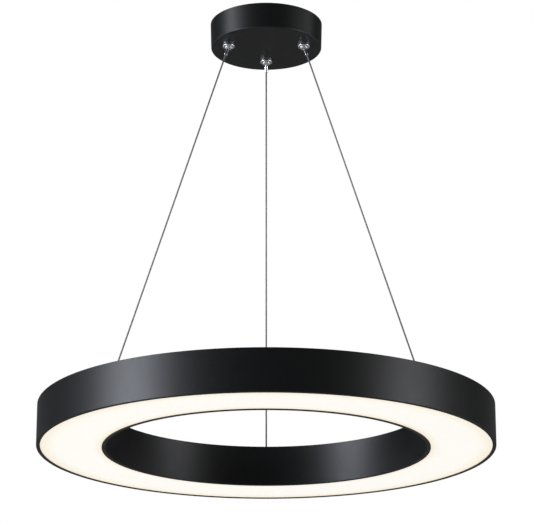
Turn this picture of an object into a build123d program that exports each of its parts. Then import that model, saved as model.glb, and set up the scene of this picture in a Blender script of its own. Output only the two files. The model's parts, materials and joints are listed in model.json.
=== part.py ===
"""Pendant light: a flat luminous ring on three wires under a round ceiling cup.

Frame: millimetres, +Z up, origin at the centre of the ceiling face, -Y towards the viewer.
The ring hangs at its lowest. Each wire runs straight from a swivel grip to a swivel anchor.
"""
import math
import os

from build123d import *

# ---------------------------------------------------------------- driving dimensions
# hanging
drop = 603.0                # ceiling to the underside of the ring

# ring
ring_radius = 300.0
opening_radius = 210.0
ring_height = 55.0
band_wall = 1.6             # rolled outer and inner bands
lip_width = 5.0             # black rim beside the diffuser, measured from the band's face
lip_height = 1.0
outer_ledge = 10.0          # inward flange that carries the top plate
inner_ledge = 7.0
plate_thickness = 1.6
plate_recess = 2.0          # top plate below the bands' upper edges, over the screw heads
band_edge_round = 0.45
seam_gap = 0.3
seam_plate_length = 34.0
seam_plate_height = 30.0
seam_plate_thickness = 1.5
outer_screw_count = 6
inner_screw_count = 6
outer_screw_turn = 10.0      # first screw, degrees from +X
diffuser_thickness = 2.5
diffuser_gap = 0.5

# light source
board_count = 4
board_turn = 45.0           # middle of the first gap between boards, degrees from +X
board_width = 16.0
board_thickness = 1.6
board_gap_angle = 6.0       # degrees between two boards
chips_per_board = 16
chip_length = 3.5
chip_width = 2.8
chip_height = 0.7
plug_width = 7.0
plug_height = 4.5
plug_seat = 3.0             # how far a plug reaches over a board
board_screw_chips = 2       # chips between a board's end and its screw
board_screw_inset = 4.5     # board's middle line to its screws

# ceiling cup
cup_top_radius = 77.0
cup_draft = 1.0             # the drawn cup narrows by this much towards its floor
cup_height = 36.0
cup_wall = 1.2
cup_edge_round = 2.0
cup_rim_gap = 0.3           # rim to ceiling

# ceiling bracket
bracket_width = 26.0
bracket_thickness = 2.0
bracket_ear_depth = 18.0
bracket_ear_width = 14.0
bracket_ear_gap = 0.1       # ear to the cup's wall
slot_spacing = 70.0
slot_length = 20.0
slot_width = 5.0
side_screw_drop = 12.0      # side screw's axis below the ceiling
side_screw_radius = 2.0
side_screw_length = 7.0
side_screw_sunk = 0.25      # outer end below the cup's face
side_socket_radius = 1.15
side_socket_depth = 2.4

# driver and terminals
driver_length = 76.0
driver_width = 30.0
driver_height = 18.0
driver_y = 8.5
driver_round = 2.0
driver_pad_thickness = 1.0
driver_pad_inset = 4.0
terminal_ways = 3
terminal_pitch = 7.0
terminal_depth = 15.0
terminal_height = 11.0
terminal_inset = 16.0       # block's middle from the side of the cup's floor
terminal_seat = 3.0         # lead inside the block
lead_radius = 1.1
lead_bend = 3.0
lead_pitch = 7.0
tail_bend = 4.0
tail_rise = {"left": 10.0, "right": 13.0}        # straight run above the wire's top
tail_level = {"left": -27.0, "right": -21.5}     # height of the run along the driver
tail_clearance = 3.5        # tail's axis to the driver's side
tail_run = 6.0              # last run into the driver's end
tail_slant = 2.0
earth_screw_y = 8.0

# where the wires leave the cup and meet the ring
near_grip_x = 51.5
near_grip_y = -20.0
far_grip_y = 36.0
anchor_inset = 20.0         # inner band to the anchors' middle
anchor_angle = 120.0
wire_radius = 1.1
wire_top = 5.6              # wire above the grip's pivot

# swivel grip, measured from its pivot
grip_ball_radius = 6.0
grip_ball_top = 4.6
grip_flange_radius = 8.6
grip_flange_height = 5.8
grip_flange_round = 1.8
grip_mouth_depth = 2.0      # pivot down to the flange's mouth
grip_seat_angle = 14.0      # where the conical seat touches the ball, below its equator
grip_stem_radius = 7.2
grip_stem_above = 5.5       # stem above the cup's floor
grip_nut_flats = 19.0
grip_nut_height = 3.6
retainer_bore = 4.4
retainer_bottom = 4.3
retainer_height = 2.5
# inside the ball
cavity_radius = 3.0
cavity_bottom = -4.6
cone_radius = 3.3
cone_bottom = -1.6
cone_height = 3.2
cone_taper = 8.0            # half angle, degrees
cone_throat = 2.45
grip_cap_height = 0.9
bead_radius = 0.75
bead_count = 3
follower_height = 0.4
spring_wire = 0.4           # coil drawn closed, as a sleeve one wire thick
spring_radius = 1.95
# release nose
nose_radius = 2.6
nose_length = 8.0
nose_round = 0.9
shank_radius = 2.2
collar_radius = 2.9
collar_height = 0.8
pusher_radius = 1.9
nose_bore = 1.35
release_travel = 1.2
nose_gap = 0.2              # nose to ball at the end of its travel

# swivel anchor in the ring, measured from its pivot
anchor_depth = 2.6          # pivot below the top plate's upper face
anchor_ball_radius = 3.2
anchor_ball_bottom = -2.4
anchor_seat_angle = 30.0    # where the conical seat touches the ball, above its equator
anchor_throat_radius = 2.77
anchor_mouth_radius = 3.95
anchor_body_radius = 5.0
anchor_body_depth = 5.0
anchor_flange_radius = 8.0
anchor_proud = 0.7          # bush above the top plate
clip_radius = 7.5
clip_thickness = 0.5
lug_radius = 7.6
lug_thickness = 0.6
lug_seat = 4.0              # tongue over the board's edge
lug_width = 4.0

# small screws
small_screw_radius = 1.5
small_head_radius = 2.8
small_head_height = 1.7
small_head_bevel = 0.6
small_cross_length = 3.2    # cross recess in the head
small_cross_width = 0.7
small_cross_depth = 0.9
top_screw_length = 4.8      # through the top plate and a band's ledge

# fits
run_gap = 0.05              # ball in its seat, nose in its guide
thread_gap = 0.03           # screw in its thread, insert in its bore
hole_gap = 0.1              # stem or bush through a sheet, plate behind a band
bead_gap = 0.01

# ---------------------------------------------------------------- worked out
ring_bottom = -drop
ring_top = ring_bottom + ring_height
plate_top = ring_top - plate_recess
plate_bottom = plate_top - plate_thickness
outer_inside = ring_radius - band_wall
inner_outside = opening_radius + band_wall
lip_top = ring_bottom + lip_height
anchor_radius = inner_outside + anchor_inset
board_radius = (anchor_radius + anchor_flange_radius + outer_inside - outer_ledge) / 2   # midway in the free width
anchor_flange_height = board_thickness     # the lug then lies flat on the flange and the board
cup_bottom_radius = cup_top_radius - cup_draft
cup_floor_bottom = -cup_height
cup_floor_top = cup_floor_bottom + cup_wall
pivot_z = cup_floor_bottom - grip_flange_height + grip_mouth_depth
anchor_z = plate_top - anchor_depth
spot_angle = math.radians(anchor_angle)

grips = {
    "left": Vector(-near_grip_x, near_grip_y, pivot_z),
    "right": Vector(near_grip_x, near_grip_y, pivot_z),
    "far": Vector(0, far_grip_y, pivot_z),
}
anchors = {
    "left": Vector(-anchor_radius * math.sin(spot_angle), anchor_radius * math.cos(spot_angle), anchor_z),
    "right": Vector(anchor_radius * math.sin(spot_angle), anchor_radius * math.cos(spot_angle), anchor_z),
    "far": Vector(0, anchor_radius, anchor_z),
}


def wire_frame(side, at):
    """A plane at a pivot of one wire: its Z runs up the wire, its X is level, across the wire."""
    up = (grips[side] - anchors[side]).normalized()
    return Plane(origin=at, x_dir=(-up.Y, up.X, 0), z_dir=up)


# ---------------------------------------------------------------- helpers
def turned(outline):
    """A closed (radius, height) outline turned about Z."""
    return revolve(Plane.XZ * make_face(outline), Axis.Z, 360)


def ring_solid(inner, outer, bottom, height):
    """A flat washer from bottom upwards."""
    outline = Polyline((inner, bottom), (outer, bottom), (outer, bottom + height),
                       (inner, bottom + height), close=True)
    return turned(outline)


def rod(radius, bottom, height):
    return Pos(0, 0, bottom) * Cylinder(radius, height, align=(Align.CENTER, Align.CENTER, Align.MIN))


def block(length, width, height, bottom):
    return Pos(0, 0, bottom) * Box(length, width, height, align=(Align.CENTER, Align.CENTER, Align.MIN))


def around(count, radius, first=0.0):
    """Even places about Z, each turned to face outwards."""
    return [Rot(0, 0, first + 360 * n / count) * Pos(radius, 0, 0) for n in range(count)]


def small_screw(length):
    """A screw that points down, with the underside of its bevelled head at z = 0."""
    body = turned(Polyline(
        (0, -length), (small_screw_radius, -length), (small_screw_radius, 0), (small_head_radius, 0),
        (small_head_radius, small_head_height - small_head_bevel),
        (small_head_radius - small_head_bevel, small_head_height), (0, small_head_height), close=True))
    slot = block(small_cross_length, small_cross_width, small_cross_depth, small_head_height - small_cross_depth)
    return body - slot - Rot(0, 0, 90) * slot


def small_hole(bottom, height):
    return rod(small_screw_radius + thread_gap, bottom, height)


def pipe(points, bends, radius):
    """A lead of six-sided section along straight runs joined by tangent arcs."""
    path = FilletPolyline(*points, radius=bends)
    start = Plane(origin=path @ 0, z_dir=path % 0)
    return sweep(start * RegularPolygon(radius, 6), path=path)


# ---------------------------------------------------------------- ring body
outer_screw_radius = outer_inside - outer_ledge / 2
inner_screw_radius = inner_outside + inner_ledge / 2
outer_screws = around(outer_screw_count, outer_screw_radius, outer_screw_turn)
inner_screws = around(inner_screw_count, inner_screw_radius)


def seam(radius, angle):
    """The hairline gap where a rolled band closes, at one angle from +X."""
    cut = block(4 * band_wall, seam_gap, 2 * ring_height, ring_bottom - ring_height / 2)
    return Rot(0, 0, angle) * Pos(radius, 0, 0) * cut


def seam_plate(inner, outer, angle):
    """A short curved plate behind a band's seam."""
    height = ring_bottom + (ring_height - seam_plate_height) / 2
    full = ring_solid(inner, outer, height, seam_plate_height)
    keep = block(4 * seam_plate_thickness, seam_plate_length, seam_plate_height, height)
    return full & (Rot(0, 0, angle) * Pos((inner + outer) / 2, 0, 0) * keep)


def make_outer_band():
    outline = Polyline(
        (ring_radius - lip_width, ring_bottom),
        (ring_radius - band_edge_round, ring_bottom),
        (ring_radius, ring_bottom + band_edge_round),
        (ring_radius, ring_top - band_edge_round),
        (ring_radius - band_edge_round, ring_top),
        (outer_inside, ring_top),
        (outer_inside, plate_bottom),
        (outer_inside - outer_ledge, plate_bottom),
        (outer_inside - outer_ledge, plate_bottom - band_wall),
        (outer_inside, plate_bottom - band_wall),
        (outer_inside, lip_top),
        (ring_radius - lip_width, lip_top),
        close=True,
    )
    band = turned(outline) - seam(ring_radius, 90)
    for place in outer_screws:
        band -= place * small_hole(plate_bottom - 2 * band_wall, 3 * band_wall)
    return band


def make_inner_band():
    outline = Polyline(
        (opening_radius + lip_width, ring_bottom),
        (opening_radius + band_edge_round, ring_bottom),
        (opening_radius, ring_bottom + band_edge_round),
        (opening_radius, ring_top - band_edge_round),
        (opening_radius + band_edge_round, ring_top),
        (inner_outside, ring_top),
        (inner_outside, plate_bottom),
        (inner_outside + inner_ledge, plate_bottom),
        (inner_outside + inner_ledge, plate_bottom - band_wall),
        (inner_outside, plate_bottom - band_wall),
        (inner_outside, lip_top),
        (opening_radius + lip_width, lip_top),
        close=True,
    )
    band = turned(outline) - seam(opening_radius, -90)
    for place in inner_screws:
        band -= place * small_hole(plate_bottom - 2 * band_wall, 3 * band_wall)
    return band


def make_top_plate():
    plate = ring_solid(inner_outside + thread_gap, outer_inside - thread_gap, plate_bottom, plate_thickness)
    for place in outer_screws + inner_screws:
        plate -= place * small_hole(plate_bottom - 1, plate_thickness + 2)
    for place in board_screws:
        plate -= place * small_hole(plate_bottom - 1, plate_thickness + 2)
    for spot in anchors.values():
        hole = rod(anchor_body_radius + hole_gap, plate_bottom - 1, plate_thickness + 2)
        plate -= Pos(spot.X, spot.Y, 0) * hole
    return plate


def make_diffuser():
    inner = inner_outside + diffuser_gap
    outer = outer_inside - diffuser_gap
    return ring_solid(inner, outer, lip_top, diffuser_thickness)


# ---------------------------------------------------------------- light source
board_span = 360 / board_count - board_gap_angle
board_bottom = plate_bottom - board_thickness
board_starts = [board_turn + 360 / board_count * n + board_gap_angle / 2 for n in range(board_count)]
board_screw_turn = board_span / chips_per_board * board_screw_chips
board_screws = [
    Rot(0, 0, start + turn) * Pos(board_radius - board_screw_inset, 0, 0)
    for start in board_starts
    for turn in (board_screw_turn, board_span - board_screw_turn)
]


def make_board(start):
    outline = Polyline(
        (board_radius - board_width / 2, board_bottom),
        (board_radius + board_width / 2, board_bottom),
        (board_radius + board_width / 2, plate_bottom),
        (board_radius - board_width / 2, plate_bottom),
        close=True,
    )
    board = Rot(0, 0, start) * revolve(Plane.XZ * make_face(outline), Axis.Z, board_span)
    for place in board_screws:
        board -= place * small_hole(board_bottom - 1, board_thickness + 2)
    return board


def make_chips(start):
    chip = block(chip_width, chip_length, chip_height, board_bottom - chip_height)
    step = board_span / chips_per_board
    places = [Rot(0, 0, start + step * (n + 0.5)) * Pos(board_radius, 0, 0) for n in range(chips_per_board)]
    return [place * chip for place in places]


def make_board_screws():
    screws = Rot(180, 0, 0) * small_screw(board_thickness + plate_thickness)
    return Compound(children=[place * Pos(0, 0, board_bottom) * screws for place in board_screws])


def make_board_plug(angle):
    """A two-part push connector that bridges the gap between two boards."""
    gap = math.radians(board_gap_angle) * board_radius
    body = block(plug_width, gap + 2 * plug_seat, plug_height, board_bottom - plug_height)
    return Rot(0, 0, angle) * Pos(board_radius + board_width / 4, 0, 0) * body


# ---------------------------------------------------------------- ceiling cup
def cup_radius_at(z):
    """Outer radius of the drafted cup at a height."""
    return cup_bottom_radius + (cup_top_radius - cup_bottom_radius) * (z + cup_height) / cup_height


def make_cup():
    """Drawn sheet cup with a rounded lower edge."""
    top = -cup_rim_gap
    rim = cup_radius_at(top)
    section = make_face(Polyline(
        (0, cup_floor_bottom), (cup_bottom_radius, cup_floor_bottom), (rim, top), (rim - cup_wall, top),
        (cup_bottom_radius - cup_wall, cup_floor_top), (0, cup_floor_top), close=True))
    corner = section.vertices().sort_by_distance((cup_bottom_radius, cup_floor_bottom, 0))[0]
    cup = revolve(Plane.XZ * fillet(corner, cup_edge_round), Axis.Z, 360)
    for spot in grips.values():
        cup -= Pos(spot.X, spot.Y, 0) * rod(grip_stem_radius + hole_gap, cup_floor_bottom - 1, cup_wall + 2)
    hole = Rot(0, 90, 0) * Cylinder(side_screw_radius + hole_gap, 4 * cup_top_radius)
    return cup - Pos(0, 0, -side_screw_drop) * hole


def ear_face():
    """Outer face of a bracket ear, just clear of the cup's curved wall."""
    wall = cup_radius_at(-bracket_ear_depth) - cup_wall - bracket_ear_gap
    return math.sqrt(wall ** 2 - (bracket_ear_width / 2) ** 2)


def make_bracket():
    reach = ear_face()
    strip = block(2 * reach, bracket_width, bracket_thickness, -bracket_thickness)
    inside = cup_radius_at(-bracket_thickness) - cup_wall - bracket_ear_gap
    strip = strip & rod(inside, -bracket_thickness, bracket_thickness)
    for side in (-1, 1):
        ear = block(bracket_thickness, bracket_ear_width, bracket_ear_depth, -bracket_ear_depth)
        strip += Pos(side * (reach - bracket_thickness / 2), 0, 0) * ear
        slot = Pos(side * slot_spacing / 2, 0, -bracket_thickness / 2) * SlotOverall(slot_length, slot_width)
        strip -= extrude(slot, bracket_thickness, both=True)
    thread = Rot(0, 90, 0) * Cylinder(side_screw_radius + thread_gap, 4 * reach)
    strip -= Pos(0, 0, -side_screw_drop) * thread
    for x, y in bracket_threads:
        strip -= Pos(x, y, 0) * small_hole(-2 * bracket_thickness, 3 * bracket_thickness)
    return strip


def make_side_screws():
    """Two flush set screws with a hexagon socket in the outer end."""
    screws = []
    for side in (-1, 1):
        body = rod(side_screw_radius, 0, side_screw_length)
        socket = extrude(RegularPolygon(side_socket_radius, 6), side_socket_depth)
        body -= Pos(0, 0, side_screw_length - side_socket_depth) * socket
        outer_end = cup_radius_at(-side_screw_drop) - side_screw_sunk
        place = Pos(side * (outer_end - side_screw_length), 0, -side_screw_drop) * Rot(0, side * 90, 0)
        screws.append(place * body)
    return Compound(children=screws)


# ---------------------------------------------------------------- driver and terminals
driver_bottom = cup_floor_top + driver_pad_thickness
driver_top = driver_bottom + driver_height
terminal_x = cup_bottom_radius - terminal_inset
terminal_way_z = -bracket_thickness - terminal_height / 2
way_places = [(way - (terminal_ways - 1) / 2) * terminal_pitch for way in range(terminal_ways)]
terminal_screw_places = [(terminal_x, (a + b) / 2) for a, b in zip(way_places, way_places[1:])]
bracket_threads = [(0, earth_screw_y)] + terminal_screw_places


def make_driver():
    case = block(driver_length, driver_width, driver_height, driver_bottom)
    case = fillet(case.edges().filter_by(Axis.Z) + case.edges().group_by(Axis.Z)[-1], driver_round)
    return Pos(0, driver_y, 0) * case


def make_driver_pad():
    pad = block(driver_length - 2 * driver_pad_inset, driver_width - 2 * driver_pad_inset,
                driver_pad_thickness, cup_floor_top)
    return Pos(0, driver_y, 0) * pad


def make_terminal_block():
    """Three ways with a lead entry from both sides and a clamping screw's well from below."""
    bottom = -bracket_thickness - terminal_height
    body = block(terminal_depth, terminal_ways * terminal_pitch, terminal_height, bottom)
    for y in way_places:
        entry = Rot(0, 90, 0) * Cylinder(lead_radius + thread_gap, 2 * terminal_depth)
        body -= Pos(0, y, terminal_way_z) * entry
        body -= Pos(0, y, 0) * rod(small_head_radius, bottom - 1, 1 + terminal_height / 2 - lead_radius)
    body = Pos(terminal_x, 0, 0) * body
    for x, y in terminal_screw_places:
        body -= Pos(x, y, 0) * small_hole(bottom - 1, terminal_height + 2)
    return body


def make_terminal_screws():
    bottom = -bracket_thickness - terminal_height
    fixing = Rot(180, 0, 0) * small_screw(terminal_height + bracket_thickness)
    return Compound(children=[Pos(x, y, bottom) * fixing for x, y in terminal_screw_places])


def make_supply_leads():
    """Driver to terminal block."""
    end = terminal_x - terminal_depth / 2
    middle = (driver_length / 2 + end) / 2
    low = (driver_bottom + driver_top) / 2
    leads = []
    for n, y in enumerate(way_places[1:]):
        start = driver_y + (n - 0.5) * lead_pitch
        leads.append(pipe([
            (driver_length / 2, start, low), (middle, start, low),
            (middle, y, terminal_way_z), (end + terminal_seat, y, terminal_way_z)], lead_bend, lead_radius))
    return Compound(children=leads)


def make_wire_tails():
    """Spare ends of the two live wires, from their grips to the driver's output end."""
    end = -driver_length / 2
    tails = []
    for side, way in (("left", 0.5), ("right", -0.5)):
        up = (grips[side] - anchors[side]).normalized()
        level = tail_level[side]
        entry = driver_y + way * lead_pitch
        points = [grips[side] + up * (wire_top + bead_gap), grips[side] + up * (wire_top + tail_rise[side])]
        if side == "right":
            beside = driver_y - driver_width / 2 - tail_clearance
            points += [(driver_length / 3, beside, level), (end + tail_slant, beside, level)]
        points += [(end - tail_run - tail_slant, entry - tail_run, level), (end - tail_run, entry, level),
                   (end, entry, level)]
        tails.append(pipe(points, tail_bend, wire_radius))
    return Compound(children=tails)


# ---------------------------------------------------------------- swivel grips
seat_bore = (grip_ball_radius + run_gap) / math.cos(math.radians(grip_seat_angle))


def ball_cut(radius, low, high):
    """A ball about the origin, cut flat at two heights."""
    ball = Sphere(radius)
    return ball & rod(2 * radius, low, high - low)


def corner_arc(radius, low, bend):
    """Quarter arc from a flat underside at low up to a side at radius."""
    inset = bend * (1 - math.sqrt(0.5))
    return ThreePointArc((radius - bend, low), (radius - inset, low + inset), (radius, low + bend))


def make_socket(side):
    """Chrome cup with a hollow threaded stem. It carries the ball on a conical seat."""
    floor = grip_flange_height - grip_mouth_depth
    top = floor + cup_wall + grip_stem_above
    low = -grip_mouth_depth
    mouth = seat_bore - (grip_mouth_depth * math.tan(math.radians(grip_seat_angle)))
    underside = Line((mouth, low), (grip_flange_radius - grip_flange_round, low))
    edge = corner_arc(grip_flange_radius, low, grip_flange_round)
    rest = Polyline((grip_flange_radius, low + grip_flange_round), (grip_flange_radius, floor),
                    (grip_stem_radius, floor), (grip_stem_radius, top), (seat_bore, top), (seat_bore, 0),
                    (mouth, low))
    spot = grips[side]
    return Pos(spot.X, spot.Y, spot.Z) * turned(underside + edge + rest)


def make_nuts():
    nuts = []
    for spot in grips.values():
        nut = extrude(RegularPolygon(grip_nut_flats / 2, 6, major_radius=False), grip_nut_height)
        nut -= rod(grip_stem_radius + thread_gap, -1, grip_nut_height + 2)
        nuts.append(Pos(spot.X, spot.Y, cup_floor_top) * nut)
    return Compound(children=nuts)


def make_retainers():
    """Threaded rings in the stems that keep the balls from being pushed up."""
    ring = ring_solid(retainer_bore, seat_bore - thread_gap, retainer_bottom, retainer_height)
    return Compound(children=[Pos(spot.X, spot.Y, spot.Z) * ring for spot in grips.values()])


def make_grip_ball(side):
    """Ball with a stepped bore: a guide for the nose, its collar's room, then the cone's bore."""
    ball = ball_cut(grip_ball_radius, -grip_ball_radius, grip_ball_top)
    ball -= rod(shank_radius + run_gap, -2 * grip_ball_radius, 4 * grip_ball_radius)
    ball -= rod(cavity_radius, cavity_bottom, cone_bottom - cavity_bottom)
    ball -= rod(cone_radius, cone_bottom, 2 * grip_ball_radius)
    return wire_frame(side, grips[side]) * ball


def cone_radius_at(z):
    return cone_throat + (z - cone_bottom) * math.tan(math.radians(cone_taper))


def make_cone(side):
    """Hardened sleeve whose bore narrows downwards and wedges the beads on the wire."""
    top = cone_bottom + cone_height
    outer = cone_radius - thread_gap
    outline = Polyline((cone_throat, cone_bottom), (outer, cone_bottom), (outer, top),
                       (cone_radius_at(top), top), close=True)
    return wire_frame(side, grips[side]) * turned(outline)


bead_orbit = wire_radius + bead_radius + bead_gap
bead_z = cone_bottom + (
    (bead_orbit + (bead_radius + bead_gap) / math.cos(math.radians(cone_taper)) - cone_throat)
    / math.tan(math.radians(cone_taper)))
follower_bottom = bead_z + bead_radius + bead_gap
cap_bottom = grip_ball_top - grip_cap_height


def make_beads(side):
    beads = [place * Pos(0, 0, bead_z) * Sphere(bead_radius) for place in around(bead_count, bead_orbit)]
    return wire_frame(side, grips[side]) * Compound(children=beads)


def make_follower(side):
    washer = ring_solid(wire_radius + run_gap, spring_radius, follower_bottom, follower_height)
    return wire_frame(side, grips[side]) * washer


def make_spring(side):
    """Compression spring between the follower and the cap, drawn as a closed coil."""
    low = follower_bottom + follower_height
    coil = ring_solid(spring_radius - spring_wire, spring_radius, low, cap_bottom - low)
    return wire_frame(side, grips[side]) * coil


def make_cap(side):
    cap = ring_solid(wire_radius + run_gap, cone_radius - thread_gap, cap_bottom, grip_cap_height)
    return wire_frame(side, grips[side]) * cap


def make_nose(side):
    """Release nose: pressed up, its pusher lifts the beads out of the cone."""
    nose_top = -grip_ball_radius - release_travel - nose_gap
    nose_bottom = nose_top - nose_length
    pusher_top = bead_z - bead_radius - bead_gap
    collar_bottom = cavity_bottom + bead_gap
    underside = Line((nose_bore, nose_bottom), (nose_radius - nose_round, nose_bottom))
    tip = corner_arc(nose_radius, nose_bottom, nose_round)
    rest = Polyline(
        (nose_radius, nose_bottom + nose_round), (nose_radius, nose_top), (shank_radius, nose_top),
        (shank_radius, collar_bottom), (collar_radius, collar_bottom),
        (collar_radius, collar_bottom + collar_height), (pusher_radius, collar_bottom + collar_height),
        (pusher_radius, pusher_top), (nose_bore, pusher_top), (nose_bore, nose_bottom))
    return wire_frame(side, grips[side]) * turned(underside + tip + rest)


# ---------------------------------------------------------------- wires and anchors
def make_wire(side):
    length = (grips[side] - anchors[side]).length
    return wire_frame(side, grips[side]) * rod(wire_radius, -length, length + wire_top)


def make_anchor(side):
    """Bush pulled up against the top plate, with a conical seat under a flared mouth."""
    top = anchor_depth + anchor_proud
    plate = anchor_depth - plate_thickness
    bore = anchor_ball_radius + run_gap
    touch = math.radians(anchor_seat_angle)
    seat_z = bore * math.tan(touch / 2)
    throat_z = (bore - anchor_throat_radius * math.cos(touch)) / math.sin(touch)
    outline = Polyline(
        (bore, -anchor_body_depth), (bore, seat_z), (anchor_throat_radius, throat_z),
        (anchor_mouth_radius, top), (anchor_body_radius, top), (anchor_body_radius, plate),
        (anchor_flange_radius, plate), (anchor_flange_radius, plate - anchor_flange_height),
        (anchor_body_radius, plate - anchor_flange_height), (anchor_body_radius, -anchor_body_depth),
        close=True)
    spot = anchors[side]
    return Pos(spot.X, spot.Y, spot.Z) * turned(outline)


def make_anchor_ball(side):
    """Ball crimped on the wire's end."""
    ball = ball_cut(anchor_ball_radius, anchor_ball_bottom, anchor_ball_radius)
    ball -= rod(wire_radius + run_gap, -run_gap, 2 * anchor_ball_radius)
    return wire_frame(side, anchors[side]) * ball


def make_clips():
    """Thin spring clips on the bushes, over the top plate."""
    clip = ring_solid(anchor_body_radius + thread_gap, clip_radius, anchor_depth, clip_thickness)
    return Compound(children=[Pos(spot.X, spot.Y, spot.Z) * clip for spot in anchors.values()])


def make_lug(side):
    """Solder lug under a live bush. Its tongue points at the light boards."""
    bottom = anchor_depth - plate_thickness - anchor_flange_height - lug_thickness
    lug = ring_solid(anchor_body_radius + thread_gap, lug_radius, bottom, lug_thickness)
    inner = (anchor_body_radius + lug_radius) / 2
    outer = board_radius - board_width / 2 + lug_seat - anchor_radius
    lug += Pos((inner + outer) / 2, 0, 0) * block(outer - inner, lug_width, lug_thickness, bottom)
    spot = anchors[side]
    outward = math.degrees(math.atan2(spot.Y, spot.X))
    return Pos(spot.X, spot.Y, spot.Z) * Rot(0, 0, outward) * lug


# ---------------------------------------------------------------- assembly
def screws_at(places, z, length):
    """Small screws that point down into a face at a height."""
    return Compound(children=[place * Pos(0, 0, z) * small_screw(length) for place in places])


def make_nodes():
    nodes = {
        "ceiling_bracket": make_bracket(),
        "canopy_cup": make_cup(),
        "canopy_side_screws": make_side_screws(),
        "earth_screw": Pos(0, earth_screw_y, -bracket_thickness) * Rot(180, 0, 0) * small_screw(bracket_thickness),
        "driver_case": make_driver(),
        "driver_foam_pad": make_driver_pad(),
        "terminal_block": make_terminal_block(),
        "terminal_screws": make_terminal_screws(),
        "supply_leads": make_supply_leads(),
        "wire_tails": make_wire_tails(),
        "grip_lock_nuts": make_nuts(),
        "grip_retaining_rings": make_retainers(),
        "outer_band": make_outer_band(),
        "inner_band": make_inner_band(),
        "outer_seam_plate": seam_plate(outer_inside - hole_gap - seam_plate_thickness, outer_inside - hole_gap, 90),
        "inner_seam_plate": seam_plate(inner_outside + hole_gap, inner_outside + hole_gap + seam_plate_thickness, -90),
        "ring_top_plate": make_top_plate(),
        "top_plate_screws": screws_at(outer_screws + inner_screws, plate_top, top_screw_length),
        "diffuser": make_diffuser(),
        "led_boards": Compound(children=[make_board(start) for start in board_starts]),
        "led_chips": Compound(children=[chip for start in board_starts for chip in make_chips(start)]),
        "board_screws": make_board_screws(),
        "board_plugs": Compound(children=[make_board_plug(start - board_gap_angle / 2) for start in board_starts]),
        "anchor_clips": make_clips(),
        "feed_lugs": Compound(children=[make_lug(side) for side in ("left", "right")]),
    }
    for side in grips:
        nodes[f"grip_socket_{side}"] = make_socket(side)
        nodes[f"grip_ball_{side}"] = make_grip_ball(side)
        nodes[f"grip_cone_{side}"] = make_cone(side)
        nodes[f"gripping_beads_{side}"] = make_beads(side)
        nodes[f"bead_follower_{side}"] = make_follower(side)
        nodes[f"grip_spring_{side}"] = make_spring(side)
        nodes[f"grip_cap_{side}"] = make_cap(side)
        nodes[f"release_nose_{side}"] = make_nose(side)
        nodes[f"wire_{side}"] = make_wire(side)
        nodes[f"anchor_bush_{side}"] = make_anchor(side)
        nodes[f"anchor_ball_{side}"] = make_anchor_ball(side)
    return nodes


os.makedirs("parts", exist_ok=True)
for name, shape in make_nodes().items():
    export_step(shape, f"parts/{name}.step")
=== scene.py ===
# %% [markdown]
# # A ring pendant light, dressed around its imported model
#
# The model holds every solid piece of the lamp at its real size, in metres, with the ceiling at z = 0.
# This lesson gives each piece its finish, remakes the two that the solids only stand for, which are the
# hanging wires and the springs in their grips, and lights the lamp as a plain studio would.

# %% Load the frame
import json
import math

import bmesh
import bpy
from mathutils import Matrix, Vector


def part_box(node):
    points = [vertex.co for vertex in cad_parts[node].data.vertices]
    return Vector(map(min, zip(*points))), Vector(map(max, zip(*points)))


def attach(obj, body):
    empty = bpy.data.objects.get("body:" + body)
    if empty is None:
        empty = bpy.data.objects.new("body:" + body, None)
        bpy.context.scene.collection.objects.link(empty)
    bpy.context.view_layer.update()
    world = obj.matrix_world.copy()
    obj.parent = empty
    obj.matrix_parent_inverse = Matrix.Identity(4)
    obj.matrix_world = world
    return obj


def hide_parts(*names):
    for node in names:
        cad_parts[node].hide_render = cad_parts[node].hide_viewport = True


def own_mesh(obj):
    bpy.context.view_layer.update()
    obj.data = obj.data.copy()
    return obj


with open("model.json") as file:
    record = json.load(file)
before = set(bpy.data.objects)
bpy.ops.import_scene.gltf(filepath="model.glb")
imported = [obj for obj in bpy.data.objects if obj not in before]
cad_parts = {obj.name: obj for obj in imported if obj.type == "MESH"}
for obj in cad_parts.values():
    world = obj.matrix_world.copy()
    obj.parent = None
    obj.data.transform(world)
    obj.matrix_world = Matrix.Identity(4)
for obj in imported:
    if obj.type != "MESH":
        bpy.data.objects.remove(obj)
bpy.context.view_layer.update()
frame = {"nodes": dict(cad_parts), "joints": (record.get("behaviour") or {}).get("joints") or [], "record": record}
nodes = frame["nodes"]
joints = {joint["name"]: joint for joint in frame["joints"]}

# %% [markdown]
# ## Units and three small helpers
#
# Real sizes are easier to think of in millimetres, so `MM` turns them into Blender's metres, and
# `per_metre` turns the real size of a pattern, such as the width of a grain, into a texture's scale.
# Colours are written as hex values, the way a paint chart or a picture gives them. The shader counts in
# linear light, so `linear` translates. Shader nodes could be added by hand in the editor, but a script is
# easier to read and change, and `add_node` keeps it short: it adds a node, sets it up and links it.

# %% Units, colour and nodes
MM = 0.001


def per_metre(millimetres):
    """Texture scale whose pattern repeats about every so many millimetres."""
    return 1 / (millimetres * MM)


def linear(hex_colour):
    """An sRGB hex colour as the linear values that a shader wants, with full opacity."""
    channels = [int(hex_colour[n:n + 2], 16) / 255 for n in (1, 3, 5)]
    curve = [c / 12.92 if c <= 0.04045 else ((c + 0.055) / 1.055) ** 2.4 for c in channels]
    return (*curve, 1.0)


def add_node(tree, kind, settings=None, inputs=None):
    """Adds a shader node. An input is a value, or another node's output to link from."""
    node = tree.nodes.new(kind)
    for name, value in (settings or {}).items():
        setattr(node, name, value)
    for socket, value in (inputs or {}).items():
        if isinstance(value, bpy.types.NodeSocket):
            tree.links.new(value, node.inputs[socket])
        else:
            node.inputs[socket].default_value = value
    return node


print("a 5 mm pattern has the scale", per_metre(5), "and mid grey is", round(linear("#808080")[0], 3))

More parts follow.
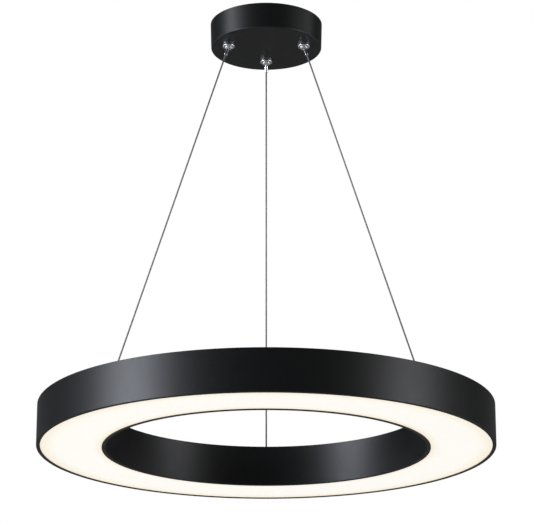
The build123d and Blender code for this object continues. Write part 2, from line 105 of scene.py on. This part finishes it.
# %% [markdown]
# ## The camera
#
# The photograph was taken from well below the ring and from far away, with a long lens: the near and far
# sides of the ring are almost the same size. A camera could be placed by eye, but the ring's edges, the cup
# and the wires together fix it much better, so it was fitted to them. It stands 3.1 m in front of the lamp
# and 0.7 m below the ring, and looks up at it by 17.9 degrees. It is not shifted or tilted sideways.

# %% Camera
CAMERA_PLACE = Vector((0.35 * MM, -3063.0 * MM, -1331.8 * MM))
CAMERA_PITCH = 0.3118           # radians above the horizon
CAMERA_LENS = 162.1             # mm
SENSOR_WIDTH = 36.0             # mm

scene = bpy.context.scene
camera_data = bpy.data.cameras.new("camera")
camera_data.lens = CAMERA_LENS
camera_data.sensor_width = SENSOR_WIDTH
camera = bpy.data.objects.new("camera", camera_data)
camera.location = CAMERA_PLACE
camera.rotation_euler = (math.pi / 2 + CAMERA_PITCH, 0, 0)
scene.collection.objects.link(camera)
scene.camera = camera
scene.view_settings.view_transform = "Standard"
print("camera looks up by", round(math.degrees(CAMERA_PITCH), 1), "degrees")

# %% [markdown]
# ## The studio lamps
#
# A black lamp shows its form only by what it mirrors. The photograph has a broad soft light on each side, the
# left one stronger and a little cooler, and a dark room all round, so the front of the ring stays black
# between two broad sheens. A picture of a studio wrapped round the lamp could give that too, but plain area
# lamps can be moved one by one until each sheen lies in its place. There are three on each side: one level
# with the ring, one higher and further back, where the cup's side mirrors it, and one low at the back, which
# draws the fine line along the cup's lower edge.

# %% Lamps
RING_CENTRE = Vector((0, 0, -0.57))


def soft_lamp(name, place, width, height, watts, colour):
    """A rectangular soft lamp that faces the ring. Place and sizes are in metres."""
    data = bpy.data.lights.new(name, "AREA")
    data.shape = "RECTANGLE"
    data.size = width
    data.size_y = height
    data.energy = watts
    data.color = linear(colour)[:3]
    lamp = bpy.data.objects.new(name, data)
    lamp.location = place
    lamp.rotation_euler = (RING_CENTRE - lamp.location).to_track_quat("-Z", "Y").to_euler()
    scene.collection.objects.link(lamp)


soft_lamp("left_window", (-3.0, -1.42, -0.3), 1.3, 1.3, 86, "#EEF3FF")
soft_lamp("left_high_window", (-3.0, -0.6, 1.45), 0.8, 0.9, 19, "#F3F7FF")
soft_lamp("left_low_window", (-2.8, 0.9, -1.1), 0.6, 0.9, 10, "#F3F7FF")
soft_lamp("right_window", (3.2, -1.2, -0.3), 1.3, 1.3, 33, "#FAFBFF")
soft_lamp("right_high_window", (3.0, 0.35, 1.3), 0.8, 0.9, 3.5, "#FAFBFF")
soft_lamp("right_low_window", (2.8, 0.9, -1.1), 0.6, 0.9, 7, "#FAFBFF")

# %% [markdown]
# ## The room around it
#
# The room is a world without walls. One even grey would light the lamp softly, but the photograph's background
# is white, and a glossy black piece would mirror that white and lose its depth. So the world has three tones:
# white where it is looked at, also through clear plastic, a dim even grey for soft light, and for gloss a dark
# room with a pale wall behind the lamp and a pale ceiling overhead.

# %% What is looked at


def looked_at(tree):
    """The kinds of ray in a shader, and 1 for what the camera sees itself or through clear plastic, else 0."""
    ray = add_node(tree, "ShaderNodeLightPath")
    seen = add_node(tree, "ShaderNodeMath", {"operation": "MAXIMUM"},
                    {0: ray.outputs["Is Camera Ray"], 1: ray.outputs["Is Transmission Ray"]})
    return ray, seen.outputs[0]


world = bpy.data.worlds.new("studio")
world.use_nodes = True
sky = world.node_tree
sky.nodes.clear()
sky_ray, sky_seen = looked_at(sky)
scene.world = world
print("world:", world.name)

# %% The dark room that gloss mirrors
DARK_FRONT = 0.015              # behind the camera
PALE_BACK = 0.17                # behind the lamp
PALE_OVERHEAD = 0.8             # above the lamp
BACK_BEGINS, BACK_FULL = 0.55, 1.0              # how far a direction points to the back, at most 1
OVERHEAD_BEGINS, OVERHEAD_FULL = 0.6, 0.95      # and how far it points up

direction = add_node(sky, "ShaderNodeTexCoord")
split = add_node(sky, "ShaderNodeSeparateXYZ", inputs={0: direction.outputs["Generated"]})
back_wall = add_node(sky, "ShaderNodeMapRange", {"interpolation_type": "SMOOTHSTEP"},
                     {"Value": split.outputs["Y"], "From Min": BACK_BEGINS, "From Max": BACK_FULL,
                      "To Min": DARK_FRONT, "To Max": PALE_BACK})
ceiling = add_node(sky, "ShaderNodeMapRange", {"interpolation_type": "SMOOTHSTEP"},
                   {"Value": split.outputs["Z"], "From Min": OVERHEAD_BEGINS, "From Max": OVERHEAD_FULL,
                    "To Min": 0.0, "To Max": PALE_OVERHEAD})
mirrored = add_node(sky, "ShaderNodeMath", {"operation": "MAXIMUM"},
                    {0: back_wall.outputs["Result"], 1: ceiling.outputs["Result"]})
dark_room = add_node(sky, "ShaderNodeBackground",
                     inputs={"Color": linear("#FFFFFF"), "Strength": mirrored.outputs[0]})
print("gloss mirrors tones from", DARK_FRONT, "to", PALE_OVERHEAD)

# %% The three tones together
DIM_ROOM = 0.26                 # even soft light

soft_light = add_node(sky, "ShaderNodeBackground", inputs={"Color": linear("#FFFFFF"), "Strength": DIM_ROOM})
white = add_node(sky, "ShaderNodeBackground", inputs={"Color": linear("#FFFFFF"), "Strength": 1.0})
unseen = add_node(sky, "ShaderNodeMixShader",
                  inputs={0: sky_ray.outputs["Is Glossy Ray"],
                          1: soft_light.outputs[0], 2: dark_room.outputs[0]})
shown = add_node(sky, "ShaderNodeMixShader", inputs={0: sky_seen, 1: unseen.outputs[0], 2: white.outputs[0]})
add_node(sky, "ShaderNodeOutputWorld", inputs={"Surface": shown.outputs[0]})
print("soft light at", DIM_ROOM, "of white")

# %% [markdown]
# ## The floor
#
# A lamp hangs, so its floor is far below: 2.4 m under the ceiling. It is pale and catches the lamp's shadow
# and glow. A square floor would show its edges, so it is a disc that turns into the same white as the world
# towards its rim, and no horizon cuts the picture. For what gloss mirrors and for soft light this white starts
# further out. Seen from below the floor is clear, or it would hide the lamp from a camera under it.

# %% The floor's disc
FLOOR_HEIGHT = -2.4             # m
FLOOR_RADIUS = 14.0             # m
FLOOR_SIDES = 96

floor_mesh = bpy.data.meshes.new("floor")
disc = bmesh.new()
bmesh.ops.create_circle(disc, cap_ends=True, segments=FLOOR_SIDES, radius=FLOOR_RADIUS)
disc.to_mesh(floor_mesh)
disc.free()
floor = bpy.data.objects.new("floor", floor_mesh)
floor.location = (0, 0, FLOOR_HEIGHT)
scene.collection.objects.link(floor)
print("floor at", FLOOR_HEIGHT, "m")

# %% The floor's paint
FADE_START, FADE_END = 1.6, 4.5                 # m from the middle
FURTHER_OUT = 5.0               # times those two, for what isn't seen directly
SEEN_GLOW = 0.65                # share of that white in the floor straight below the lamp, where it is seen

floor_paint = bpy.data.materials.new("pale_floor_paint")
floor_paint.use_nodes = True
tree = floor_paint.node_tree
tree.nodes.clear()
_, floor_seen = looked_at(tree)
place = add_node(tree, "ShaderNodeTexCoord")
from_centre = add_node(tree, "ShaderNodeVectorMath", {"operation": "LENGTH"}, {0: place.outputs["Object"]})
closer = add_node(tree, "ShaderNodeMapRange",
                  inputs={"Value": floor_seen, "To Min": 1 / FURTHER_OUT, "To Max": 1.0})
reach = add_node(tree, "ShaderNodeMath", {"operation": "MULTIPLY"},
                 {0: from_centre.outputs["Value"], 1: closer.outputs["Result"]})
least = add_node(tree, "ShaderNodeMath", {"operation": "MULTIPLY"}, {0: floor_seen, 1: SEEN_GLOW})
fade = add_node(tree, "ShaderNodeMapRange", {"interpolation_type": "SMOOTHSTEP"},
                {"Value": reach.outputs[0], "From Min": FADE_START, "From Max": FADE_END,
                 "To Min": least.outputs[0]})
matt = add_node(tree, "ShaderNodeBsdfDiffuse", inputs={"Color": linear("#C9C8C5")})
glow = add_node(tree, "ShaderNodeEmission", inputs={"Color": linear("#FFFFFF"), "Strength": 1.0})
blended = add_node(tree, "ShaderNodeMixShader",
                   inputs={0: fade.outputs["Result"], 1: matt.outputs[0], 2: glow.outputs[0]})
clear = add_node(tree, "ShaderNodeBsdfTransparent")
side = add_node(tree, "ShaderNodeNewGeometry")
one_sided = add_node(tree, "ShaderNodeMixShader",
                     inputs={0: side.outputs["Backfacing"], 1: blended.outputs[0], 2: clear.outputs[0]})
add_node(tree, "ShaderNodeOutputMaterial", inputs={"Surface": one_sided.outputs[0]})
floor_mesh.materials.append(floor_paint)
print("floor paint:", floor_paint.name)

# %% [markdown]
# ## A start for every finish
#
# Each finish begins with the Principled shader, which stands for most real surfaces: a base colour, how
# metallic and how rough it is, and its index of refraction. These even values are set on the shader's own
# sockets, and what varies over the surface is added as nodes. Pictures of real surfaces could bring that
# detail too, but noise of a known size in millimetres needs none and fits pieces of every size. It takes its
# place from the Object coordinates: every piece has its origin at the lamp's origin, so they are metres.
#
# Two things vary on most finishes, so each has a function. Gloss wanders about the shader's own roughness, and
# grains stand up from the surface by their real depth.

# %% New finish


def new_finish(name, colour, roughness, metallic=0.0, ior=None):
    """A material with one Principled shader. Returns it with its tree and that shader."""
    material = bpy.data.materials.new(name)
    material.use_nodes = True
    tree = material.node_tree
    tree.nodes.clear()
    shader = add_node(tree, "ShaderNodeBsdfPrincipled",
                      inputs={"Base Color": linear(colour), "Roughness": roughness, "Metallic": metallic})
    if ior is not None:
        shader.inputs["IOR"].default_value = ior
    add_node(tree, "ShaderNodeOutputMaterial", inputs={"Surface": shader.outputs[0]})
    print("finish:", name, colour)
    return material, tree, shader


# %% Uneven gloss and raised grain
NOISE_LOW, NOISE_HIGH = 0.3, 0.7                # noise seldom leaves this range


def uneven_gloss(tree, shader, size_mm, detail, swing):
    """Lets the roughness wander by a swing to both sides of the shader's own, in patches of a real size."""
    middle = shader.inputs["Roughness"].default_value
    place = add_node(tree, "ShaderNodeTexCoord")
    patches = add_node(tree, "ShaderNodeTexNoise",
                       inputs={"Vector": place.outputs["Object"], "Scale": per_metre(size_mm),
                               "Detail": detail})
    gloss = add_node(tree, "ShaderNodeMapRange",
                     inputs={"Value": patches.outputs[0], "From Min": NOISE_LOW, "From Max": NOISE_HIGH,
                             "To Min": middle - swing, "To Max": middle + swing})
    tree.links.new(gloss.outputs["Result"], shader.inputs["Roughness"])
    return gloss


def raised_grain(tree, shader, size_mm, detail, depth_mm, strength):
    """Raises grains of a real size and depth."""
    place = add_node(tree, "ShaderNodeTexCoord")
    grains = add_node(tree, "ShaderNodeTexNoise",
                      inputs={"Vector": place.outputs["Object"], "Scale": per_metre(size_mm),
                              "Detail": detail})
    bump = add_node(tree, "ShaderNodeBump",
                    inputs={"Height": grains.outputs[0], "Distance": depth_mm * MM, "Strength": strength})
    tree.links.new(bump.outputs["Normal"], shader.inputs["Normal"])


print("a 2.5 mm ripple has the scale", per_metre(2.5))

# %% [markdown]
# ## Satin black powder coat
#
# The ring's bands and the ceiling cup are steel sheet, powder coated: a fine dry paint melts on the metal
# and flows into a smooth skin with a slight orange peel. The eye gets a black that is never quite empty,
# soft broad sheens, and a faint mottle inside them. The peel is about 1.5 mm across. The mottle in the gloss
# is drawn at 5 mm, coarser than the real one, so that it shows at this distance. The spray comes from the
# sides, so the faces that look straight down get a thinner and drier coat, which is more matt. A second
# material for those faces would end in a hard line, so the same one looks at which way the face points.

# %% Powder coat
DRY_UNDERSIDE = 0.18            # how much rougher the coat is on faces that look down
UNDERSIDE_BEGINS = -0.7         # the height of a face's normal from which it starts, down to -1

powder_coat, tree, shader = new_finish("satin_black_powder_coat", "#0B0C0D", roughness=0.42, ior=1.5)
raised_grain(tree, shader, size_mm=1.5, detail=2.0, depth_mm=0.03, strength=0.35)
mottle = uneven_gloss(tree, shader, size_mm=5.0, detail=4.0, swing=0.02)
face = add_node(tree, "ShaderNodeNewGeometry")
normal = add_node(tree, "ShaderNodeSeparateXYZ", inputs={0: face.outputs["True Normal"]})
dry = add_node(tree, "ShaderNodeMapRange",
               inputs={"Value": normal.outputs["Z"], "From Min": UNDERSIDE_BEGINS, "From Max": -1.0,
                       "To Min": 0.0, "To Max": DRY_UNDERSIDE})
coat = add_node(tree, "ShaderNodeMath", {"operation": "ADD"},
                {0: mottle.outputs["Result"], 1: dry.outputs["Result"]})
tree.links.new(coat.outputs[0], shader.inputs["Roughness"])

# %% [markdown]
# ## Opal acrylic, lit from behind
#
# The diffuser is a flat ring of moulded opal acrylic. The boards above it light it evenly, and it looks almost
# pure white, with a cream tone near its edges, where less light arrives and the plastic's own colour shows.
# The light chips could shine through it, but that would be slow and full of noise, and all the eye gets is an
# even glow. So the glow is an emission, and its tone depends on the distance from the nearer edge.

# %% Where the diffuser is
low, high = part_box("diffuser")
lower_edge = low.z + MM / 2
outer_edge = high.x
inner_edge = max(Vector(v.co[:2]).length for v in nodes["inner_band"].data.vertices if v.co.z < lower_edge)
print("diffuser from", round(inner_edge, 4), "to", round(outer_edge, 4), "m")

# %% Diffuser
EDGE_GLOW = 28.0                # mm over which the cream of the outer edge turns to white
INNER_FASTER = 2.0              # the inner edge's cream is this many times narrower
GLOW_STRENGTH = 0.75

opal, tree, shader = new_finish("opal_acrylic_lit_from_behind", "#CFCCC4", roughness=0.45, ior=1.49)
place = add_node(tree, "ShaderNodeTexCoord")
flat = add_node(tree, "ShaderNodeVectorMath", {"operation": "MULTIPLY"},
                {0: place.outputs["Object"], 1: (1, 1, 0)})
radius = add_node(tree, "ShaderNodeVectorMath", {"operation": "LENGTH"}, {0: flat.outputs[0]})
to_outer = add_node(tree, "ShaderNodeMath", {"operation": "SUBTRACT"},
                    {0: outer_edge, 1: radius.outputs["Value"]})
to_inner = add_node(tree, "ShaderNodeMath", {"operation": "SUBTRACT"},
                    {0: radius.outputs["Value"], 1: inner_edge})
inner_scaled = add_node(tree, "ShaderNodeMath", {"operation": "MULTIPLY"},
                        {0: to_inner.outputs[0], 1: INNER_FASTER})
to_nearer = add_node(tree, "ShaderNodeMath", {"operation": "MINIMUM"},
                     {0: to_outer.outputs[0], 1: inner_scaled.outputs[0]})
depth = add_node(tree, "ShaderNodeMapRange", {"interpolation_type": "SMOOTHERSTEP"},
                 {"Value": to_nearer.outputs[0], "From Min": 0.0, "From Max": EDGE_GLOW * MM})
tone = add_node(tree, "ShaderNodeMix", {"data_type": "RGBA"},
                {0: depth.outputs["Result"], 6: linear("#FCEFDA"), 7: linear("#FFFDF5")})
tree.links.new(tone.outputs[2], shader.inputs["Emission Color"])
shader.inputs["Emission Strength"].default_value = GLOW_STRENGTH

# %% [markdown]
# ## Chrome on brushed brass
#
# The grips under the cup, and the bushes where the wires enter the ring, are brass, turned, lightly brushed
# and then chrome-plated. The lamps show in them as bright dots, but nothing as a clear image. A mirror-smooth
# chrome would be simpler, but each lamp would show in it as a hard square. A metal keeps the default IOR, and
# its colour is that of its mirror image.

# %% Chrome
chrome, tree, shader = new_finish("chrome_plate_on_brushed_brass", "#CFD1D4", roughness=0.27, metallic=1.0)
uneven_gloss(tree, shader, size_mm=2.5, detail=1.0, swing=0.05)
raised_grain(tree, shader, size_mm=2.5, detail=1.0, depth_mm=0.01, strength=0.08)

# %% [markdown]
# ## The steels and the brass inside
#
# These show only from above, on the ring and through the cup's open top, or when the lamp is taken apart.
# One steel could do for all of them, but each gets its own tone, gloss and grain, made like the chrome's, so
# that a wedge, a plate and a screw can be told apart in a cutaway.

# %% Steels and brass
# Zinc-plated, for the bracket, the seam plates, the clips and their screws: dull silver, finely clouded.
zinc, tree, shader = new_finish("zinc_plated_steel", "#B4B8BC", roughness=0.35, metallic=1.0)
uneven_gloss(tree, shader, size_mm=3.0, detail=4.0, swing=0.09)
raised_grain(tree, shader, size_mm=3.0, detail=4.0, depth_mm=0.01, strength=0.3)

# Hardened and ground, for what wedges and carries the wires: darker and clean, with fine scratches.
ground_steel, tree, shader = new_finish("ground_hardened_steel", "#8F9194", roughness=0.25, metallic=1.0)
raised_grain(tree, shader, size_mm=0.4, detail=2.0, depth_mm=0.004, strength=0.4)

# Left plain, for the lugs, the earth screw and the bead followers: warm yellow, clouded with tarnish.
brass, tree, shader = new_finish("plain_rolled_brass", "#D8B268", roughness=0.31, metallic=1.0)
uneven_gloss(tree, shader, size_mm=2.0, detail=3.0, swing=0.09)

# A black zinc coat, for the screws that show on the cup and the ring: nearly black, with a metal's glint.
black_zinc, tree, shader = new_finish("black_zinc_screw_steel", "#1B1C1D", roughness=0.39, metallic=0.6)
uneven_gloss(tree, shader, size_mm=0.8, detail=3.0, swing=0.09)

# %% [markdown]
# ## Plastics and foam
#
# The driver, the terminal block and the plugs of the light boards are white moulded polyamide, the leads have
# a silicone cover, and the driver stands on a foam pad. They could all share one white plastic, but it is
# their difference in sheen that tells a hard case from a soft cover.

# %% Plastics and foam
# Moulded polyamide: warm white, with the fine spark texture of the mould.
polyamide, tree, shader = new_finish("moulded_white_polyamide", "#E4E3DD", roughness=0.5, ior=1.53)
raised_grain(tree, shader, size_mm=0.5, detail=2.0, depth_mm=0.03, strength=0.4)

# Extruded silicone: dark red, soft and slightly dusty.
silicone, tree, shader = new_finish("silicone_lead_cover", "#8E2B22", roughness=0.55, ior=1.41)
uneven_gloss(tree, shader, size_mm=1.2, detail=3.0, swing=0.07)

# Foam with closed cells, cut from a sheet: black and quite matt. The cells are drawn 0.9 mm wide.
foam, tree, shader = new_finish("closed_cell_foam", "#2A2A2B", roughness=0.95, ior=1.45)
place = add_node(tree, "ShaderNodeTexCoord")
cells = add_node(tree, "ShaderNodeTexVoronoi",
                 inputs={"Vector": place.outputs["Object"], "Scale": per_metre(0.9)})
pits = add_node(tree, "ShaderNodeBump",
                inputs={"Height": cells.outputs["Distance"], "Distance": 0.2 * MM, "Strength": 0.7})
tree.links.new(pits.outputs["Normal"], shader.inputs["Normal"])

# %% [markdown]
# ## The light boards
#
# The boards in the ring are glass fibre under white solder mask, which throws the light down, and each light
# chip is a small block of yellow phosphor. The chips glow a little by themselves, but no lamp is put in them:
# behind the diffuser, which has its own glow, it would cost time and show nothing.

# %% Boards and chips
CHIP_GLOW = 1.0

# White solder mask on woven glass: smooth, with a trace of the weave.
solder_mask, tree, shader = new_finish("white_solder_mask_board", "#ECEDEA", roughness=0.4, ior=1.5)
raised_grain(tree, shader, size_mm=0.6, detail=1.0, depth_mm=0.01, strength=0.3)

# Phosphor cast in silicone: a yellow block that turns cream where it glows most.
phosphor, tree, shader = new_finish("phosphor_light_chip", "#F0CE5A", roughness=0.3, ior=1.41)
place = add_node(tree, "ShaderNodeTexCoord")
grains = add_node(tree, "ShaderNodeTexNoise",
                  inputs={"Vector": place.outputs["Object"], "Scale": per_metre(0.5), "Detail": 1.0})
lit = add_node(tree, "ShaderNodeMapRange",
               inputs={"Value": grains.outputs[0], "From Min": NOISE_LOW, "From Max": NOISE_HIGH,
                       "To Min": 0.85, "To Max": 1.0})
warm = add_node(tree, "ShaderNodeMix", {"data_type": "RGBA"},
                {0: lit.outputs["Result"], 6: linear("#E8B93C"), 7: linear("#FFF1C4")})
tree.links.new(warm.outputs[2], shader.inputs["Emission Color"])
shader.inputs["Emission Strength"].default_value = CHIP_GLOW

# %% [markdown]
# ## Dress the pieces of the model
#
# The model's pieces keep their meshes. Each could be given its finish by name, one by one, but the record
# already says what every piece is made of, so one short table dresses them all. The hanging wires are remade
# below, so the plain metal of their slot shows only on their spare ends in the cup.

# %% Dress the model
finish_of_slot = {
    "black_paint": powder_coat, "zinc_steel": zinc, "black_screw": black_zinc, "brass": brass,
    "white_housing": polyamide, "foam_pad": foam, "lead_cover": silicone, "wire_cover": zinc,
    "chrome": chrome, "hard_steel": ground_steel, "opal_diffuser": opal, "board": solder_mask,
    "light_chip": phosphor,
}
slot_of_node = {part["node"]: part["material_slot"] for part in frame["record"]["subparts"]}
for name, piece in nodes.items():
    piece.data.materials.clear()
    piece.data.materials.append(finish_of_slot[slot_of_node[name]])
print("dressed:", len(slot_of_node), "pieces in", len(finish_of_slot), "finishes")

# %% [markdown]
# ## The hanging wires
#
# Each wire is a steel strand of seven fine wires, six twisted round one, in an extruded PVC jacket. From afar
# it is a thin grey line. A plain rod with a twisted pattern of bumps could stand for it, but then its cut ends
# and its edge would be wrong, so the strand is swept: for each fine wire, a small ring of points travels along
# the wire while it turns about it. The jacket is a tube of soft grey PVC that lets hardly any light through.
#
# The wires shorten as the ring is raised, because the spare length slides up through the grips. Here
# they ride on the ceiling and keep the length they have at rest.

# %% The line of each wire
SIDES = ("left", "right", "far")


def wire_line(side_name):
    """The middle of the grip's swivel, the middle of the ball in the ring, and the way up along the wire."""
    grip = Vector(joints[f"grip_tilt_{side_name}"]["pos_m"])
    ball = Vector(joints[f"wire_end_tilt_{side_name}"]["pos_m"])
    return grip, ball, (grip - ball).normalized()


# %% Wire finishes
# Drawn stainless steel: bright grey, matt from the dies.
strand_steel, tree, shader = new_finish("drawn_stainless_strand", "#C6C8CA", roughness=0.51, metallic=1.0)
uneven_gloss(tree, shader, size_mm=0.3, detail=1.0, swing=0.07)

# Soft PVC, extruded: a milky grey with a low sheen.
milky_pvc, tree, shader = new_finish("milky_grey_pvc_jacket", "#8E8D8B", roughness=0.45, ior=1.53)
shader.inputs["Transmission Weight"].default_value = 0.03
uneven_gloss(tree, shader, size_mm=4.0, detail=3.0, swing=0.05)

# %% [markdown]
# ## Sweeping a wire
#
# A wire of any course is a row of point rings with a skin over them. A curve with a round bevel would do the
# same, but rings of points say exactly where the wire lies, and the same few functions serve the strand, the
# jacket and later the springs.

# %% Rings of points and their skin


def wire_axes(bottom, top):
    """Two directions across a wire, and its own direction."""
    along = (top - bottom).normalized()
    level = along.cross(Vector((0, 0, 1))).normalized()
    return level, along.cross(level), along


def ring_of_points(centre, across, up, radius, sides):
    """Points on a circle in the plane of two directions."""
    turns = [2 * math.pi * n / sides for n in range(sides)]
    return [centre + across * (radius * math.cos(a)) + up * (radius * math.sin(a)) for a in turns]


def add_tube(mesh, rings):
    """Skins a list of point rings and closes both ends."""
    rows = [[mesh.verts.new(point) for point in ring] for ring in rings]
    sides = len(rows[0])
    for low_row, high_row in zip(rows, rows[1:]):
        for n in range(sides):
            after = (n + 1) % sides
            mesh.faces.new((low_row[n], low_row[after], high_row[after], high_row[n]))
    mesh.faces.new(rows[0][::-1])
    mesh.faces.new(rows[-1])


def finished_piece(name, mesh, material):
    """Turns a bmesh into a smooth piece with one material."""
    bmesh.ops.recalc_face_normals(mesh, faces=mesh.faces[:])
    data = bpy.data.meshes.new(name)
    mesh.to_mesh(data)
    mesh.free()
    data.materials.append(material)
    data.polygons.foreach_set("use_smooth", [True] * len(data.polygons))
    piece = bpy.data.objects.new(name, data)
    scene.collection.objects.link(piece)
    print(name, "has", len(data.polygons), "faces")
    return piece


# %% Strand and jacket
WIRE_RADIUS = 1.1 * MM
STRAND_RADIUS = 0.75 * MM       # the seven wires together, three of them side by side
TWIST_PITCH = 9.0 * MM
STEPS_PER_TWIST = 8
TWISTED_WIRES = 6               # round the straight one
FINE_SIDES = 5
JACKET_SIDES = 20
fine_radius = STRAND_RADIUS / 3


def make_strand(name, bottom, top):
    """One straight fine wire with six twisted round it."""
    across, up, along = wire_axes(bottom, top)
    length = (top - bottom).length
    steps = int(length / TWIST_PITCH * STEPS_PER_TWIST)
    mesh = bmesh.new()
    add_tube(mesh, [ring_of_points(end, across, up, fine_radius, FINE_SIDES) for end in (bottom, top)])
    for fine in range(TWISTED_WIRES):
        rings = []
        for step in range(steps + 1):
            travelled = length * step / steps
            angle = 2 * math.pi * (travelled / TWIST_PITCH + fine / TWISTED_WIRES)
            out = across * math.cos(angle) + up * math.sin(angle)
            centre = bottom + along * travelled + out * (2 * fine_radius)
            rings.append(ring_of_points(centre, across, up, fine_radius, FINE_SIDES))
        add_tube(mesh, rings)
    return finished_piece(name, mesh, strand_steel)


def make_jacket(name, bottom, top):
    """A straight round tube over the strand."""
    across, up, along = wire_axes(bottom, top)
    mesh = bmesh.new()
    add_tube(mesh, [ring_of_points(end, across, up, WIRE_RADIUS, JACKET_SIDES) for end in (bottom, top)])
    return finished_piece(name, mesh, milky_pvc)


print("fine wires are", round(2 * fine_radius / MM, 2), "mm thick")

# %% Hang the wires
WIRE_TOP = 5.6 * MM             # wire above the grip's pivot
WIRE_FOOT = 0.9 * MM            # and its foot's distance from the middle of the ball in the ring

for side_name in SIDES:
    grip, ball, upward = wire_line(side_name)
    foot, top = ball + upward * WIRE_FOOT, grip + upward * WIRE_TOP
    strand = make_strand(f"wire_strand_{side_name}", foot, top)
    jacket = make_jacket(f"wire_jacket_{side_name}", foot, top)
    for piece in (strand, jacket):
        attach(piece, "ceiling_fixture")
        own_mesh(piece)
        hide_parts(f"wire_{side_name}")
    print("wire on the", side_name, "is", round((top - foot).length / MM, 1), "mm long")

# %% [markdown]
# ## The springs in the grips
#
# In each grip a small compression spring keeps the beads wedged in their sleeve. The model has it as a closed
# sleeve of the same height and width. Here it is a coil of round music wire, whose first and last turns lie
# flat, as ground spring ends do. A screw modifier could wind it, but its ends couldn't lie flat. Pressing the
# release nose shortens it; this coil keeps its full height and rides with its grip.

# %% Coil springs
SPRING_WIRE = 0.4 * MM
SPRING_TURNS = 4
STEPS_PER_COIL = 20
COIL_SIDES = 8
FLAT_TURNS = 0.75               # turns at each end that lie flat
FLAT_RISE = 0.55                # and by how many wire thicknesses a whole such turn would rise

# Drawn bright: a middle grey with a clear glint.
music_wire, tree, shader = new_finish("drawn_music_wire", "#A4A7AB", roughness=0.31, metallic=1.0)
uneven_gloss(tree, shader, size_mm=0.2, detail=1.0, swing=0.07)


def coil_height(turn, pitch):
    """Height of the wire's middle after so many turns: flat, rising, flat."""
    rising = min(max(turn - FLAT_TURNS, 0), SPRING_TURNS - 2 * FLAT_TURNS)
    return (turn - rising) * SPRING_WIRE * FLAT_RISE + rising * pitch


def make_coil(name, foot, upward, height, radius):
    """A coil of round wire that stands on its foot and just fills a height and an outer radius."""
    across = upward.cross(Vector((0, 1, 0))).normalized()
    beside = upward.cross(across)
    middle = radius - SPRING_WIRE / 2
    open_height = height - SPRING_WIRE - 2 * FLAT_TURNS * SPRING_WIRE * FLAT_RISE
    pitch = open_height / (SPRING_TURNS - 2 * FLAT_TURNS)
    rings = []
    for step in range(SPRING_TURNS * STEPS_PER_COIL + 1):
        turn = step / STEPS_PER_COIL
        angle = 2 * math.pi * turn
        out = across * math.cos(angle) + beside * math.sin(angle)
        centre = foot + upward * (SPRING_WIRE / 2 + coil_height(turn, pitch)) + out * middle
        rings.append(ring_of_points(centre, out, upward, SPRING_WIRE / 2, COIL_SIDES))
    mesh = bmesh.new()
    add_tube(mesh, rings)
    return finished_piece(name, mesh, music_wire)


# %% Put the springs in
for side_name in SIDES:
    node_name = f"grip_spring_{side_name}"
    grip, ball, upward = wire_line(side_name)
    spots = [v.co - grip for v in nodes[node_name].data.vertices]
    heights = [spot.dot(upward) for spot in spots]
    radius = max((spot - upward * height).length for spot, height in zip(spots, heights))
    foot, top = grip + upward * min(heights), grip + upward * max(heights)
    height = max(heights) - min(heights)
    spring = make_coil(f"grip_coil_spring_{side_name}", foot, upward, height, radius)
    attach(spring, f"grip_{side_name}")
    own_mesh(spring)
    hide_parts(node_name)
    print(node_name, "is", round(height / MM, 2), "mm high and", round(2 * radius / MM, 2), "mm wide")
